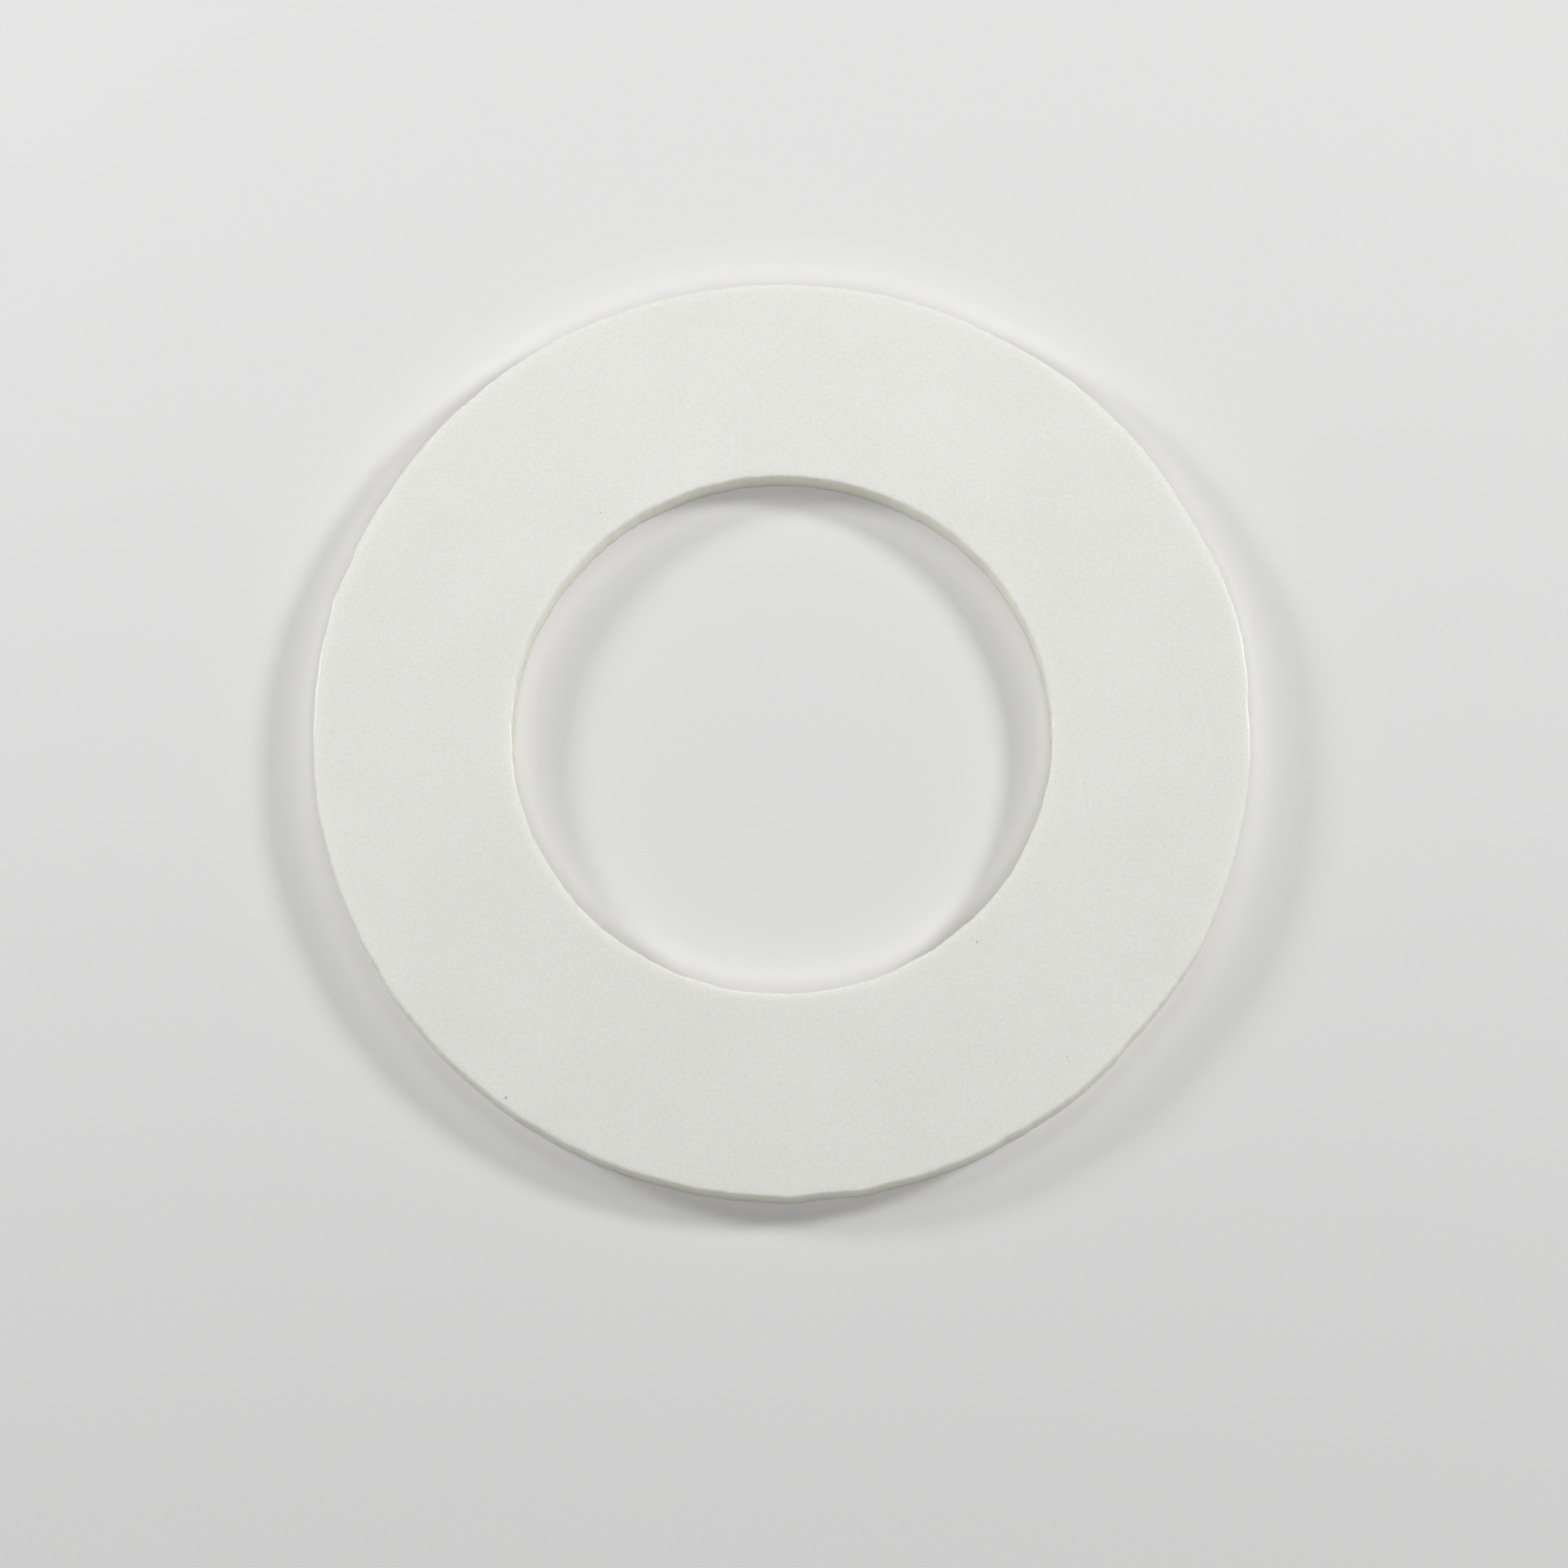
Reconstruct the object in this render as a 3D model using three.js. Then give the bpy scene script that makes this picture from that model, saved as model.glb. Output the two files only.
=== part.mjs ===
// Flat washer: one plain ring of milky plastic, die-cut from sheet, with a large round hole.
// Millimetres, +Z up. The origin is at the middle of the bottom face, on the ring's own axis.

import * as THREE from 'three';

const inch = 25.4;

// Driving dimensions. Washers of this kind come in inch fractions.
const outerDiameter = (7 / 8) * inch;
const holeDiameter = (1 / 2) * inch;
const thickness = (1 / 32) * inch;
const topEdgeRadius = 0.08; // the cutter enters here and rolls the edges over a little
const bottomEdgeRadius = 0.04; // it leaves here, where the edges stay nearly square

// How finely the round shapes are divided.
const edgeDivisions = 1; // each rounded edge gets twice this many flats
const turnSegments = 96; // a multiple of 4, so that the ring reaches its full diameter along X and Y

const outerRadius = outerDiameter / 2;
const holeRadius = holeDiameter / 2;
const quarterTurn = Math.PI / 2;

// The ring's cut section: x is the distance from the axis, y is the height above the bottom face.
// It runs anticlockwise from the foot of the outer wall, and straight lines join its four rounded edges.
function ringSection() {
  const section = new THREE.Shape();
  const addEdge = (x, y, radius, startAngle) => {
    section.absarc(x, y, radius, startAngle, startAngle + quarterTurn);
  };
  addEdge(outerRadius - bottomEdgeRadius, bottomEdgeRadius, bottomEdgeRadius, -quarterTurn);
  addEdge(outerRadius - topEdgeRadius, thickness - topEdgeRadius, topEdgeRadius, 0);
  addEdge(holeRadius + topEdgeRadius, thickness - topEdgeRadius, topEdgeRadius, quarterTurn);
  addEdge(holeRadius + bottomEdgeRadius, bottomEdgeRadius, bottomEdgeRadius, 2 * quarterTurn);
  section.closePath();
  return section.getPoints(edgeDivisions);
}

function makeWasher() {
  const milkyPlastic = new THREE.MeshStandardMaterial({
    color: 0xe2e3da,
    roughness: 0.4,
    metalness: 0,
  });
  const washer = new THREE.Mesh(new THREE.LatheGeometry(ringSection(), turnSegments), milkyPlastic);
  washer.name = 'washer';
  washer.rotation.x = quarterTurn; // the lathe turns about Y, and the washer's axis is Z
  return washer;
}

const flatWasher = new THREE.Group();
flatWasher.add(makeWasher());

export default flatWasher;
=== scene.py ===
import math

import bmesh
import bpy
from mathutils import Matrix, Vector


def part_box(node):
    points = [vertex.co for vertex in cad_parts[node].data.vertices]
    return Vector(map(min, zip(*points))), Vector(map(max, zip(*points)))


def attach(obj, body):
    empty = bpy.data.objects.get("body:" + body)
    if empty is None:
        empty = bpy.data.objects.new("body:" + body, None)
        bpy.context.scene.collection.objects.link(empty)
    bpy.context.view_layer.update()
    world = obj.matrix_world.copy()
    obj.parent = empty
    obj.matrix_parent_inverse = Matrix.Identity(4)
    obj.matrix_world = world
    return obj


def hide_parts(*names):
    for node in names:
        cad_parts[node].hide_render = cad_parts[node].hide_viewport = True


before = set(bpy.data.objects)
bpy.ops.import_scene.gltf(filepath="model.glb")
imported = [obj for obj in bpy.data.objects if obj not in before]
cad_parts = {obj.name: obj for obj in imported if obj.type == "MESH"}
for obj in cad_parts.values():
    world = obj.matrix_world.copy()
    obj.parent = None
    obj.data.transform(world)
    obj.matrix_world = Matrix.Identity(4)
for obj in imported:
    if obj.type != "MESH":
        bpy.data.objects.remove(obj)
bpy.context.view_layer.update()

mm = 0.001

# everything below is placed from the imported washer's own box and rims
boxLow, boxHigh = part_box("washer")
rimDistances = [vertex.co.xy.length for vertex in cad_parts["washer"].data.vertices]
outerRadius = max(rimDistances)
holeRadius = min(rimDistances)
topHeight = boxHigh.z
print("frame: ring of", round(outerRadius / mm, 2), "mm round a hole of", round(holeRadius / mm, 2), "mm")


def deselectAll():
    for item in bpy.context.selected_objects:
        item.select_set(False)


# the camera looks down steeply from the front, with a long lens
cameraView = {
    "elevation": 75.0,  # degrees above the floor
    "distance": 148 * mm,
    "frameWidth": 36.95 * mm,  # what the picture takes in at the washer
    "aim": (0.05 * mm, -1.31 * mm),  # the washer lies a little above the middle of the picture
    "nearest": 1 * mm,
    "furthest": 2000 * mm,
}


def makeCamera(view):
    tilt = math.radians(view["elevation"])
    aim = Vector((*view["aim"], topHeight))
    back = Vector((0, -math.cos(tilt), math.sin(tilt)))
    bpy.ops.object.camera_add(location=aim + back * view["distance"])
    camera = bpy.context.object
    camera.name = "benchCamera"
    camera.rotation_euler = (math.radians(90) - tilt, 0, 0)
    camera.data.lens = camera.data.sensor_width * view["distance"] / view["frameWidth"]
    camera.data.clip_start = view["nearest"]
    camera.data.clip_end = view["furthest"]
    bpy.context.scene.camera = camera


deselectAll()
makeCamera(cameraView)
print("camera set")


# azimuth 90 is behind the washer, and power is in watts
lampSettings = {
    "rightLamp": {"azimuth": 24, "elevation": 30, "distance": 155 * mm, "size": 32 * mm, "power": 0.12},
    "leftLamp": {"azimuth": 158, "elevation": 24, "distance": 110 * mm, "size": 23 * mm, "power": 0.05},
    "nearPanel": {"azimuth": 90, "elevation": 62, "distance": 72 * mm, "size": 34 * mm, "power": 0.009},
    "skyPanel": {"azimuth": 270, "elevation": 64, "distance": 1000 * mm, "size": 500 * mm, "power": 3.15},
}
roomSettings = {
    "color": (1.0, 1.0, 1.0),
    "strength": 0.04,  # what the room adds to the light
    "seenStrength": 0.68,  # how bright it looks beyond the floor
}


def makeLamp(name, lamp):
    turn, lift = math.radians(lamp["azimuth"]), math.radians(lamp["elevation"])
    away = Vector((math.cos(turn) * math.cos(lift), math.sin(turn) * math.cos(lift), math.sin(lift)))
    bpy.ops.object.light_add(type="AREA", location=away * lamp["distance"])
    item = bpy.context.object
    item.name = name
    item.rotation_euler = away.to_track_quat("Z", "Y").to_euler()
    item.data.shape = "DISK"
    item.data.size = lamp["size"]
    item.data.energy = lamp["power"]
    item.visible_camera = False


def makeRoom(room):
    world = bpy.data.worlds.new("paleRoom")
    bpy.context.scene.world = world
    world.use_nodes = True
    background = world.node_tree.nodes["Background"]
    background.inputs["Color"].default_value = (*room["color"], 1)
    seen = world.node_tree.nodes.new("ShaderNodeMapRange")
    seen.inputs["To Min"].default_value = room["strength"]
    seen.inputs["To Max"].default_value = room["seenStrength"]
    lightPath = world.node_tree.nodes.new("ShaderNodeLightPath")
    world.node_tree.links.new(lightPath.outputs["Is Camera Ray"], seen.inputs["Value"])
    world.node_tree.links.new(seen.outputs["Result"], background.inputs["Strength"])


for lampName, lampValues in lampSettings.items():
    makeLamp(lampName, lampValues)
makeRoom(roomSettings)
bpy.context.scene.view_settings.view_transform = "Standard"
print("lights set")


# the floor is a pale flat sheet, and its rim falls away out of sight
floorSettings = {
    "gap": 0.0005 * mm,  # keeps the sheet just clear of the washer's underside
    "outlinePoints": 128,
    "flatRadius": 150 * mm,
    "rimSteps": 6,
    "rimReach": 40 * mm,
    "rimDrop": 6 * mm,
    "color": (0.80, 0.80, 0.795),
    "roughness": 0.9,
    "shine": 0.2,
}


def makeFloor(floor):
    bpy.ops.mesh.primitive_circle_add(
        vertices=floor["outlinePoints"],
        radius=floor["flatRadius"],
        fill_type="NGON",
        location=(0, 0, boxLow.z - floor["gap"]),
    )
    sheet = bpy.context.object
    sheet.name = "paleFloor"
    bpy.ops.object.mode_set(mode="EDIT")
    bpy.ops.mesh.select_mode(type="EDGE")
    bpy.ops.mesh.select_all(action="SELECT")
    bpy.ops.mesh.region_to_loop()
    radius = floor["flatRadius"]
    height = 0
    for step in range(1, floor["rimSteps"] + 1):
        share = step / floor["rimSteps"]
        nextRadius = floor["flatRadius"] + floor["rimReach"] * share
        nextHeight = -floor["rimDrop"] * share * share
        bpy.ops.mesh.extrude_edges_move(TRANSFORM_OT_translate={"value": (0, 0, nextHeight - height)})
        bpy.ops.transform.resize(value=(nextRadius / radius, nextRadius / radius, 1))
        radius, height = nextRadius, nextHeight
    bpy.ops.object.mode_set(mode="OBJECT")
    bpy.ops.object.transform_apply()
    bpy.ops.object.shade_smooth()
    paper = bpy.data.materials.new("plainPaper")
    paper.use_nodes = True
    shader = paper.node_tree.nodes["Principled BSDF"]
    shader.inputs["Base Color"].default_value = (*floor["color"], 1)
    shader.inputs["Roughness"].default_value = floor["roughness"]
    shader.inputs["Specular IOR Level"].default_value = floor["shine"]
    sheet.data.materials.append(paper)


deselectAll()
makeFloor(floorSettings)
print("floor laid")


# the outline is drawn inwards into a flat sheet, the cutter's path is made uneven, then the sheet is raised
ringSettings = {
    "steps": 1440,  # points round each outline
    "loops": (0.045, 0.16, 0.33, 0.5, 0.67, 0.84, 0.955),  # from the outside, 0, to the hole, 1
    "holeStretch": (1.0105, 0.994),
    "holeOffset": (0.0, -0.03 * mm),
    "outerStretch": (0.996, 1.004),  # die-cut plastic is never quite round
    "wobble": [  # wave length and height of the cutter's uneven path
        (4.0 * mm, 0.08 * mm),
        (1.1 * mm, 0.035 * mm),
        (0.40 * mm, 0.034 * mm),
        (0.14 * mm, 0.028 * mm),
    ],
    "bumps": [  # degrees round the ring, reach and outward push of each bump or nick in the outer edge
        (16, 3.0 * mm, 0.08 * mm),
        (320, 2.6 * mm, -0.07 * mm),
        (203, 3.0 * mm, -0.02 * mm),
        (269, 2.4 * mm, 0.04 * mm),
        (298.5, 0.5 * mm, -0.035 * mm),
        (271, 0.35 * mm, 0.03 * mm),
        (275, 0.4 * mm, -0.03 * mm),
        (280, 0.5 * mm, 0.025 * mm),
        (158, 0.35 * mm, -0.035 * mm),
        (163, 0.45 * mm, 0.03 * mm),
        (3, 0.9 * mm, -0.025 * mm),
    ],
    "wallLevels": 7,
    "topRoll": 0.05 * mm,
    "topRollSteps": 4,
    "bottomRoll": 0.01 * mm,
    "bottomRollSteps": 2,
    "levelWeight": 100,  # keeps the shading of the flat faces level up to the rolled rims
}
sameHeight = 0.001 * mm  # points this close in height are level with each other


def waver(item, waveLength, height):
    # a cloud texture pushes the points about, as far as the cutter strays
    cloud = bpy.data.textures.new("cutterPath", "CLOUDS")
    cloud.cloud_type = "COLOR"
    cloud.noise_scale = waveLength
    cloud.noise_depth = 1
    push = item.modifiers.new("cutterPath", "DISPLACE")
    push.texture = cloud
    push.texture_coords = "LOCAL"
    push.direction = "RGB_TO_XYZ"
    push.mid_level = 0.5
    push.strength = height
    bpy.ops.object.modifier_apply(modifier=push.name)


def bumpOutline(item, turn, reach, push):
    # pulls the outer edge out, or in, at one place, and what is near it follows
    bpy.ops.mesh.select_mode(type="VERT")
    bpy.ops.mesh.select_all(action="DESELECT")
    away = Vector((math.cos(math.radians(turn)), math.sin(math.radians(turn)), 0))
    cut = bmesh.from_edit_mesh(item.data)
    nearest = min(cut.verts, key=lambda vertex: (vertex.co - away * outerRadius).length)
    nearest.select_set(True)
    bmesh.update_edit_mesh(item.data)
    bpy.ops.transform.translate(
        value=away * push,
        use_proportional_edit=True,
        proportional_edit_falloff="SMOOTH",
        proportional_size=reach,
    )


def isRim(edge, height):
    # an edge at this height with a level face on one side and an upright one on the other
    if any(abs(vertex.co.z - height) >= sameHeight for vertex in edge.verts):
        return False
    upright = [abs(face.normal.z) < 0.5 for face in edge.link_faces]
    return len(upright) == 2 and any(upright) and not all(upright)


def rollRims(item, height, reach, steps):
    bpy.ops.mesh.select_mode(type="EDGE")
    bpy.ops.mesh.select_all(action="DESELECT")
    cut = bmesh.from_edit_mesh(item.data)
    for edge in cut.edges:
        if isRim(edge, height):
            edge.select_set(True)
    bmesh.update_edit_mesh(item.data)
    bpy.ops.mesh.bevel(offset=reach, segments=steps, profile=0.5, affect="EDGES")


def drawInwards(radius, nextRadius):
    bpy.ops.mesh.extrude_edges_move()
    bpy.ops.transform.resize(value=(nextRadius / radius, nextRadius / radius, 1))
    return nextRadius


def makeRing(ring):
    deselectAll()
    bpy.ops.mesh.primitive_circle_add(vertices=ring["steps"], radius=outerRadius)
    item = bpy.context.object
    item.name = "cutRing"
    bpy.ops.object.mode_set(mode="EDIT")
    radius = outerRadius
    for share in ring["loops"]:
        radius = drawInwards(radius, outerRadius - (outerRadius - holeRadius) * share)
    bpy.ops.transform.resize(value=(*ring["holeStretch"], 1))
    bpy.ops.transform.translate(value=(*ring["holeOffset"], 0))
    drawInwards(radius, holeRadius)
    bpy.ops.object.mode_set(mode="OBJECT")
    for waveLength, height in ring["wobble"]:
        waver(item, waveLength, height)
    bpy.ops.object.mode_set(mode="EDIT")
    for turn, reach, push in ring["bumps"]:
        bumpOutline(item, turn, reach, push)
    # the sheet is pressed flat again, laid at the height of the underside and raised
    bpy.ops.mesh.select_all(action="SELECT")
    bpy.ops.transform.resize(value=(*ring["outerStretch"], 0), center_override=(0, 0, 0))
    bpy.ops.transform.translate(value=(0, 0, boxLow.z))
    rise = (topHeight - boxLow.z) / ring["wallLevels"]
    for level in range(ring["wallLevels"]):
        bpy.ops.mesh.extrude_region_move(TRANSFORM_OT_translate={"value": (0, 0, rise)})
    bpy.ops.mesh.select_all(action="SELECT")
    bpy.ops.mesh.normals_make_consistent(inside=False)
    rollRims(item, topHeight, ring["topRoll"], ring["topRollSteps"])
    rollRims(item, boxLow.z, ring["bottomRoll"], ring["bottomRollSteps"])
    bpy.ops.object.mode_set(mode="OBJECT")
    bpy.ops.object.shade_smooth()
    shading = item.modifiers.new("levelFaces", "WEIGHTED_NORMAL")
    shading.weight = ring["levelWeight"]
    bpy.ops.object.modifier_apply(modifier=shading.name)
    return item


washer = makeRing(ringSettings)
print("ring cut:", len(washer.data.polygons), "faces")


# node groups: grain, hairlines, specks and cutting marks, shared by the three finishes
def addNode(tree, kind, inputs=None, **settings):
    item = tree.nodes.new(kind)
    for key, value in settings.items():
        setattr(item, key, value)
    for key, value in (inputs or {}).items():
        if isinstance(value, bpy.types.NodeSocket):
            tree.links.new(value, item.inputs[key])
        else:
            item.inputs[key].default_value = value
    return item


def startGroup(name, inputs, outputs):
    group = bpy.data.node_groups.new(name, "ShaderNodeTree")
    for socketName, kind, value in inputs:
        socket = group.interface.new_socket(socketName, in_out="INPUT", socket_type="NodeSocket" + kind)
        if value is not None:
            socket.default_value = value
    for socketName, kind in outputs:
        group.interface.new_socket(socketName, in_out="OUTPUT", socket_type="NodeSocket" + kind)
    return group, group.nodes.new("NodeGroupInput").outputs, group.nodes.new("NodeGroupOutput").inputs


def calc(tree, operation, first, second=0.0):
    return addNode(tree, "ShaderNodeMath", {0: first, 1: second}, operation=operation).outputs[0]


def fade(tree, value, low, high):
    # 1 at or below the low value, 0 at or above the high one
    item = addNode(
        tree,
        "ShaderNodeMapRange",
        {"Value": value, "From Min": low, "From Max": high, "To Min": 1.0, "To Max": 0.0},
        interpolation_type="SMOOTHSTEP",
    )
    return item.outputs["Result"]


def makeGrainGroup():
    # soft clouds of one size, from 0 to 1 with the middle at a half
    group, given, result = startGroup(
        "sheetGrain",
        [("Place", "Vector", None), ("Size", "Float", 0.1 * mm), ("Roughness", "Float", 0.5)],
        [("Value", "Float")],
    )
    scale = calc(group, "DIVIDE", 1.0, given["Size"])
    clouds = addNode(
        group,
        "ShaderNodeTexNoise",
        {"Vector": given["Place"], "Scale": scale, "Detail": 3.0, "Roughness": given["Roughness"]},
    )
    group.links.new(clouds.outputs["Fac"], result["Value"])
    return group


hairlineEnds = (0.12, 0.42)  # where a scratch starts to fade and where it is gone, as shares of a cell


def makeHairlineGroup():
    # straight fine scratches: each cell of a stretched net holds one line, and only a few cells keep theirs
    group, given, result = startGroup(
        "hairlines",
        [
            ("Place", "Vector", None),
            ("Turn", "Float", 0.0),
            ("Spacing", "Float", 1.0 * mm),
            ("Length", "Float", 3.0 * mm),
            ("Width", "Float", 0.02 * mm),
            ("Amount", "Float", 0.3),
        ],
        [("Mask", "Float")],
    )
    turned = addNode(
        group,
        "ShaderNodeVectorRotate",
        {"Vector": given["Place"], "Angle": given["Turn"]},
        rotation_type="Z_AXIS",
    )
    parts = addNode(group, "ShaderNodeSeparateXYZ", {"Vector": turned.outputs["Vector"]})
    across = calc(group, "DIVIDE", parts.outputs["X"], given["Spacing"])
    along = calc(group, "DIVIDE", parts.outputs["Y"], given["Length"])
    net = addNode(group, "ShaderNodeCombineXYZ", {"X": across, "Y": along})
    cells = addNode(
        group,
        "ShaderNodeTexVoronoi",
        {"Vector": net.outputs["Vector"], "Scale": 1.0},
        voronoi_dimensions="2D",
    )
    middle = addNode(group, "ShaderNodeSeparateXYZ", {"Vector": cells.outputs["Position"]})
    chance = addNode(group, "ShaderNodeSeparateColor", {"Color": cells.outputs["Color"]})
    aside = calc(group, "ABSOLUTE", calc(group, "SUBTRACT", across, middle.outputs["X"]))
    asideLength = calc(group, "MULTIPLY", aside, given["Spacing"])
    thin = fade(group, asideLength, 0.0, given["Width"])
    ahead = calc(group, "ABSOLUTE", calc(group, "SUBTRACT", along, middle.outputs["Y"]))
    ended = fade(group, ahead, *hairlineEnds)
    kept = calc(group, "LESS_THAN", chance.outputs["Red"], given["Amount"])
    faint = calc(group, "MULTIPLY", calc(group, "MULTIPLY", thin, ended), chance.outputs["Green"])
    group.links.new(calc(group, "MULTIPLY", faint, kept), result["Mask"])
    return group


speckSmallest = 0.3  # added to each speck's own chance, from 0 to 1, to give its share of the full size
speckCore = 0.5  # how much of a speck is fully dark


def makeSpeckGroup():
    # lone specks of dust or char, each of its own size
    group, given, result = startGroup(
        "specks",
        [
            ("Place", "Vector", None),
            ("Spacing", "Float", 1.0 * mm),
            ("Size", "Float", 0.05 * mm),
            ("Amount", "Float", 0.3),
        ],
        [("Mask", "Float")],
    )
    net = addNode(
        group,
        "ShaderNodeVectorMath",
        {0: given["Place"], "Scale": calc(group, "DIVIDE", 1.0, given["Spacing"])},
        operation="SCALE",
    )
    cells = addNode(
        group,
        "ShaderNodeTexVoronoi",
        {"Vector": net.outputs["Vector"], "Scale": 1.0},
        voronoi_dimensions="2D",
    )
    chance = addNode(group, "ShaderNodeSeparateColor", {"Color": cells.outputs["Color"]})
    away = calc(group, "MULTIPLY", cells.outputs["Distance"], given["Spacing"])
    size = calc(group, "MULTIPLY", given["Size"], calc(group, "ADD", chance.outputs["Green"], speckSmallest))
    inside = fade(group, away, calc(group, "MULTIPLY", size, speckCore), size)
    kept = calc(group, "LESS_THAN", chance.outputs["Red"], given["Amount"])
    group.links.new(calc(group, "MULTIPLY", inside, kept), result["Mask"])
    return group


def makeCutMarkGroup():
    # upright streaks that the die leaves on a cut side, clouds stretched along Z
    group, given, result = startGroup(
        "cutMarks",
        [("Place", "Vector", None), ("Spacing", "Float", 0.06 * mm), ("Stretch", "Float", 14.0)],
        [("Value", "Float")],
    )
    parts = addNode(group, "ShaderNodeSeparateXYZ", {"Vector": given["Place"]})
    upright = calc(group, "DIVIDE", parts.outputs["Z"], given["Stretch"])
    drawn = addNode(
        group,
        "ShaderNodeCombineXYZ",
        {"X": parts.outputs["X"], "Y": parts.outputs["Y"], "Z": upright},
    )
    scale = calc(group, "DIVIDE", 1.0, given["Spacing"])
    streaks = addNode(
        group,
        "ShaderNodeTexNoise",
        {"Vector": drawn.outputs["Vector"], "Scale": scale, "Detail": 2.0},
    )
    group.links.new(streaks.outputs["Fac"], result["Value"])
    return group


grainGroup = makeGrainGroup()
hairlineGroup = makeHairlineGroup()
speckGroup = makeSpeckGroup()
cutMarkGroup = makeCutMarkGroup()
print("node groups made")


# the plastic is milky: light goes a short way in and comes back
plasticSettings = {
    "dustColor": (0.30, 0.27, 0.22),
    "dustStrength": 0.7,
    "scratchColor": (0.97, 0.97, 0.95),
    "scratchStrength": 0.55,
    "scratchRoughness": 0.12,  # added where a scratch runs
    "grainRoughness": 0.6,
    "depth": 0.22 * mm,
    "depthByColor": (1.0, 0.96, 0.88),
    "ior": 1.53,
}
faceSettings = {  # the sheet's own skin
    "name": "milkyFace",
    "levelness": (0.99, 1.0),  # which faces get it, from 0 for an upright face to 1 for a level one
    "colors": ((0.818, 0.825, 0.781), (0.874, 0.881, 0.837)),  # where the milk is thinner and thicker
    "roughness": (0.44, 0.54),
    "cloudSize": 2.4 * mm,
    "grainSize": 0.08 * mm,
    "grainHeight": 0.004 * mm,
    "grainColor": 3.5,
    "streakHeight": 0.0,
    "hairlines": [  # turn, spacing, length, width, amount
        (0.06, 2.3 * mm, 3.6 * mm, 0.03 * mm, 0.4),
        (-0.16, 3.1 * mm, 2.6 * mm, 0.025 * mm, 0.3),
    ],
    "hairlineHeight": 0.006 * mm,
    "speckSpacing": 2.2 * mm,
    "speckSize": 0.03 * mm,
    "speckAmount": 0.1,
}
rimSettings = {  # rolled smooth by the die
    "name": "milkyRim",
    "levelness": (0.3, 0.99),
    "colors": ((0.815, 0.816, 0.765), (0.86, 0.861, 0.81)),
    "roughness": (0.16, 0.26),
    "cloudSize": 1.1 * mm,
    "grainSize": 0.05 * mm,
    "grainHeight": 0.0012 * mm,
    "grainColor": 0.2,
    "streakHeight": 0.004 * mm,
    "hairlines": [(1.2, 1.4 * mm, 0.9 * mm, 0.02 * mm, 0.2)],
    "hairlineHeight": 0.001 * mm,
    "speckSpacing": 1.6 * mm,
    "speckSize": 0.03 * mm,
    "speckAmount": 0.06,
}
sideSettings = {  # cut through and streaked; its colours are painted light, lighter and warmer than the face, standing in for the warm glow of light that passes through the milky plastic into the shaded cut side
    "name": "milkyCutSidePaintedGlow",
    "levelness": (0.0, 0.3),
    # painted glow: these colours light up the shaded wall as if light came through the plastic
    "colors": ((0.91, 0.88, 0.76), (0.94, 0.91, 0.79)),
    "roughness": (0.26, 0.4),
    "cloudSize": 1.1 * mm,
    "grainSize": 0.035 * mm,
    "grainHeight": 0.0012 * mm,
    "grainColor": 0.3,
    "streakHeight": 0.007 * mm,
    "hairlines": [(1.2, 1.4 * mm, 0.9 * mm, 0.02 * mm, 0.2)],
    "hairlineHeight": 0.001 * mm,
    "speckSpacing": 1.6 * mm,
    "speckSize": 0.03 * mm,
    "speckAmount": 0.06,
}
levelSlack = 0.001  # so that rounding leaves no face out


def useGroup(tree, group, inputs):
    return addNode(tree, "ShaderNodeGroup", inputs, node_tree=group).outputs[0]


def colorSocket(sockets, name):
    # a Mix node has sockets of the same name for numbers, vectors and colours
    return next(socket for socket in sockets if socket.name == name and socket.type == "RGBA")


def mixColors(tree, share, first, second):
    item = addNode(tree, "ShaderNodeMix", {"Factor": share}, data_type="RGBA")
    for name, value in (("A", first), ("B", second)):
        socket = colorSocket(item.inputs, name)
        if isinstance(value, bpy.types.NodeSocket):
            tree.links.new(value, socket)
        else:
            socket.default_value = (*value, 1)
    return colorSocket(item.outputs, "Result")


def scratchMask(tree, place, look):
    mask = 0.0
    for turn, spacing, length, width, amount in look["hairlines"]:
        lines = useGroup(
            tree,
            hairlineGroup,
            {
                "Place": place,
                "Turn": turn,
                "Spacing": spacing,
                "Length": length,
                "Width": width,
                "Amount": amount,
            },
        )
        mask = calc(tree, "MAXIMUM", lines, mask)
    return mask


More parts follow.
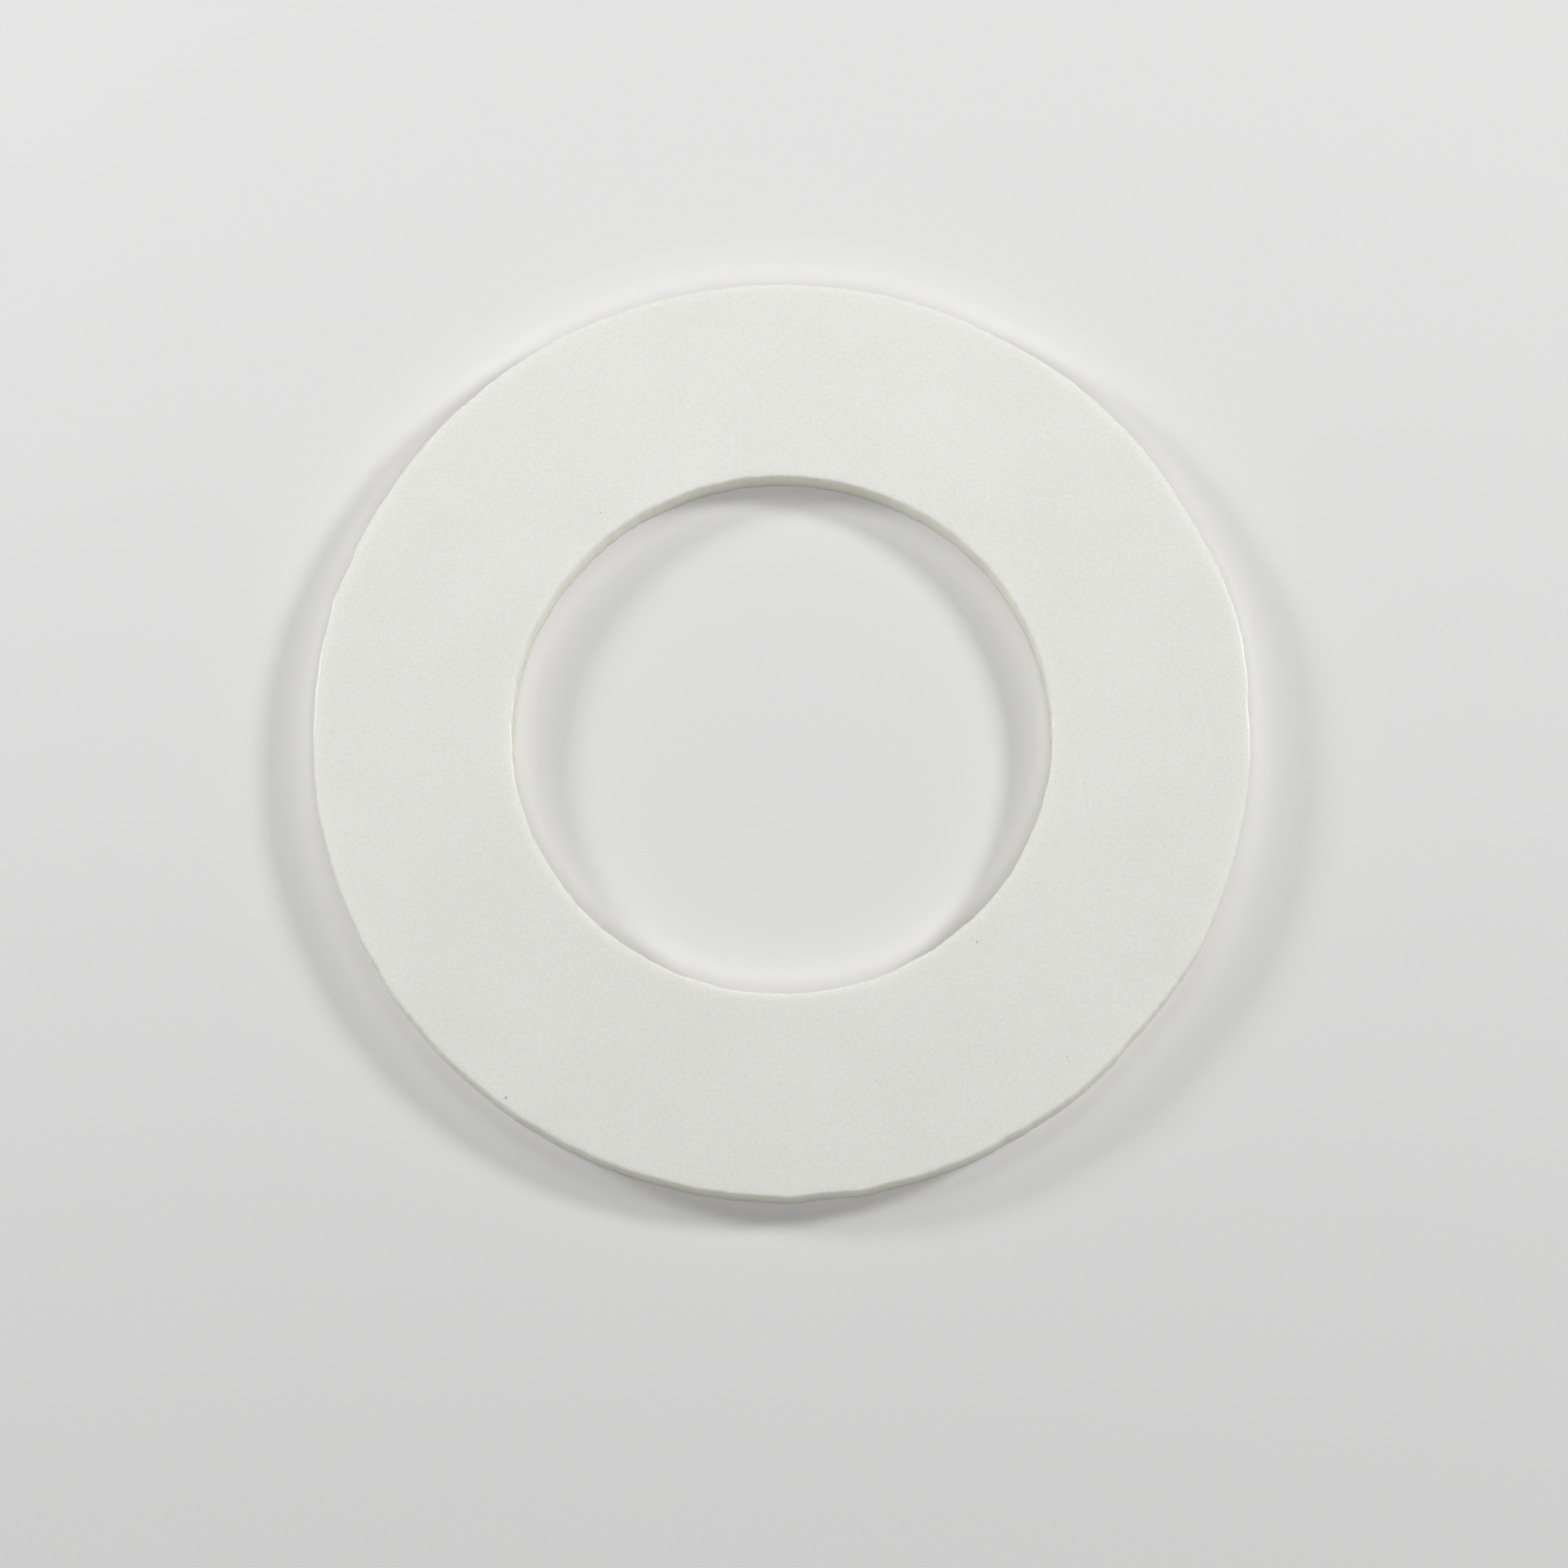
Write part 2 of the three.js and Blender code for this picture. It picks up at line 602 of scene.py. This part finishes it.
def makeMilkyPlastic(plastic, look):
    material = bpy.data.materials.new(look["name"])
    material.use_nodes = True
    tree = material.node_tree
    shader = tree.nodes["Principled BSDF"]
    place = addNode(tree, "ShaderNodeTexCoord").outputs["Object"]
    clouds = useGroup(tree, grainGroup, {"Place": place, "Size": look["cloudSize"]})
    grain = useGroup(
        tree,
        grainGroup,
        {"Place": place, "Size": look["grainSize"], "Roughness": plastic["grainRoughness"]},
    )
    streaks = useGroup(tree, cutMarkGroup, {"Place": place})
    specks = useGroup(
        tree,
        speckGroup,
        {
            "Place": place,
            "Spacing": look["speckSpacing"],
            "Size": look["speckSize"],
            "Amount": look["speckAmount"],
        },
    )
    scratches = scratchMask(tree, place, look)

    grainTint = calc(tree, "MULTIPLY", calc(tree, "SUBTRACT", grain, 0.5), look["grainColor"])
    milk = mixColors(tree, calc(tree, "ADD", clouds, grainTint), *look["colors"])
    scratchShare = calc(tree, "MULTIPLY", scratches, plastic["scratchStrength"])
    scratched = mixColors(tree, scratchShare, milk, plastic["scratchColor"])
    dustShare = calc(tree, "MULTIPLY", specks, plastic["dustStrength"])
    dusted = mixColors(tree, dustShare, scratched, plastic["dustColor"])
    tree.links.new(dusted, shader.inputs["Base Color"])

    low, high = look["roughness"]
    dull = calc(tree, "ADD", calc(tree, "MULTIPLY", grain, high - low), low)
    scratchDull = calc(tree, "MULTIPLY", scratches, plastic["scratchRoughness"])
    tree.links.new(calc(tree, "ADD", dull, scratchDull), shader.inputs["Roughness"])

    relief = calc(tree, "MULTIPLY", grain, look["grainHeight"])
    relief = calc(tree, "ADD", relief, calc(tree, "MULTIPLY", streaks, look["streakHeight"]))
    relief = calc(tree, "SUBTRACT", relief, calc(tree, "MULTIPLY", scratches, look["hairlineHeight"]))
    relief = calc(tree, "ADD", relief, calc(tree, "MULTIPLY", specks, look["hairlineHeight"]))
    bump = addNode(tree, "ShaderNodeBump", {"Height": relief, "Distance": 1.0, "Strength": 1.0})
    tree.links.new(bump.outputs["Normal"], shader.inputs["Normal"])

    shader.inputs["IOR"].default_value = plastic["ior"]
    shader.inputs["Subsurface Weight"].default_value = 1.0
    shader.inputs["Subsurface Scale"].default_value = plastic["depth"]
    shader.inputs["Subsurface Radius"].default_value = plastic["depthByColor"]
    return material


def finishRing(item, looks):
    deselectAll()
    item.select_set(True)
    bpy.ops.object.mode_set(mode="EDIT")
    bpy.ops.mesh.select_mode(type="FACE")
    for index, look in enumerate(looks):
        item.data.materials.append(makeMilkyPlastic(plasticSettings, look))
        lowest, highest = look["levelness"]
        bpy.ops.mesh.select_all(action="DESELECT")
        cut = bmesh.from_edit_mesh(item.data)
        for face in cut.faces:
            face.select_set(lowest <= abs(face.normal.z) <= highest + levelSlack)
        bmesh.update_edit_mesh(item.data)
        item.active_material_index = index
        bpy.ops.object.material_slot_assign()
    bpy.ops.object.mode_set(mode="OBJECT")


finishRing(washer, [faceSettings, rimSettings, sideSettings])
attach(washer, "root")
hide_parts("washer")
print("finish on")
